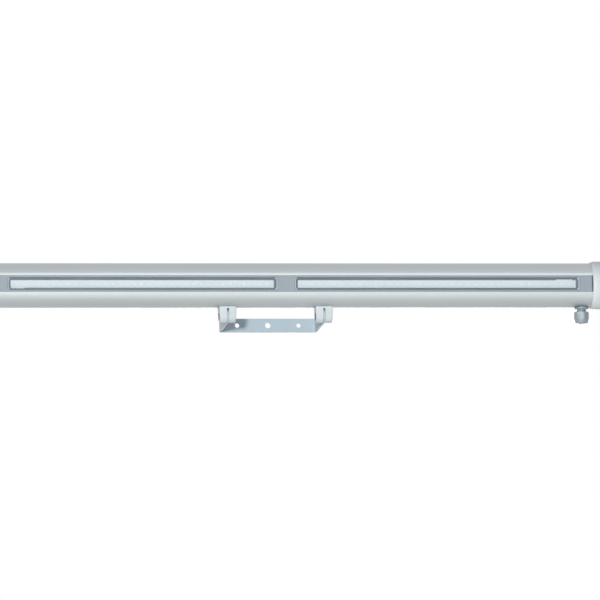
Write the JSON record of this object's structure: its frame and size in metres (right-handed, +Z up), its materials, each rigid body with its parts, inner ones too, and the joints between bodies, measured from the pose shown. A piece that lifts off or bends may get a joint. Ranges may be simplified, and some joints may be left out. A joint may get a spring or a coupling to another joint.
{
  "type": "led flood light",
  "caption": "Tubular LED flood light with two long windows in a flat front strip, end caps, a cable gland and a tilting U bracket.",
  "frame": {"origin": "centre of the wall face of the bracket's base plate", "axes": "+X along the tube towards the gland end, +Z up, -Y the side the windows face; the wall is behind the part on the +Y side"},
  "size_m": [1.163, 0.1414, 0.1123],
  "materials": {
    "bracket": "blue-grey powder coat",
    "clamp": "light grey moulded plastic",
    "steel": "plain zinc-plated steel",
    "housing": "satin anodised extrusion",
    "strip": "smooth blue-grey coat",
    "lens_seal": "pale silicone",
    "lens": "clear pane",
    "tray": "mill finish sheet",
    "led_board": "white circuit board with warm white chips",
    "driver": "black driver case",
    "lead_live": "brown wire insulation",
    "lead_neutral": "blue wire insulation",
    "terminal": "off-white terminal block",
    "end_cap": "light grey moulded cap",
    "gasket": "black rubber",
    "gland": "mid grey polyamide"
  },
  "bodies": {
    "bracket": {"u_bracket": "bracket"},
    "lamp": {"clamp_left": "clamp", "clamp_right": "clamp", "clamp_screw_left_1": "steel", "clamp_screw_left_2": "steel", "clamp_screw_right_1": "steel", "clamp_screw_right_2": "steel", "pivot_bolt_left": "steel", "pivot_bolt_right": "steel", "pivot_nut_left": "steel", "pivot_nut_right": "steel", "housing_tube": "housing", "window_strip": "strip", "channel_plug_left": "gasket", "channel_plug_right": "gasket", "lens_seal_left": "lens_seal", "lens_seal_right": "lens_seal", "lens_left": "lens", "lens_right": "lens", "gear_tray": "tray", "led_board_left": "led_board", "led_board_right": "led_board", "led_driver": "driver", "driver_screw_1": "steel", "driver_screw_2": "steel", "driver_screw_3": "steel", "driver_screw_4": "steel", "driver_lead_live": "lead_live", "driver_lead_neutral": "lead_neutral", "terminal_block": "terminal", "end_cap_left": "end_cap", "end_cap_right": "end_cap", "cap_gasket_left": "gasket", "cap_gasket_right": "gasket", "cap_screw_left_1": "steel", "cap_screw_left_2": "steel", "cap_screw_left_3": "steel", "cap_screw_left_4": "steel", "cap_screw_right_1": "steel", "cap_screw_right_2": "steel", "cap_screw_right_3": "steel", "cap_screw_right_4": "steel", "gland_body": "gland", "gland_gasket": "gasket", "gland_locknut": "gland"},
    "gland_insert": {"gland_seal": "gasket"},
    "gland_nut": {"gland_dome_nut": "gland"}
  },
  "joints": [
    {"name": "tilt", "type": "hinge", "parent": "bracket", "child": "lamp", "pos_m": [0, -0.0935, 0], "axis": [1, 0, 0], "range_deg": [-10, 180]},
    {"name": "nut_travel", "type": "slide", "parent": "lamp", "child": "gland_insert", "axis": [0, -0.0872, 0.9962], "range_m": [0, 0.003]},
    {"name": "nut_turn", "type": "hinge", "parent": "gland_insert", "child": "gland_nut", "pos_m": [0.5582, -0.09834, 0.05529], "axis": [0, -0.0872, 0.9962], "range_deg": [0, 720]}
  ],
  "couplings": [
    {"joint": "nut_travel", "follows": "nut_turn", "m_per_rad": 0.00023873}
  ]
}
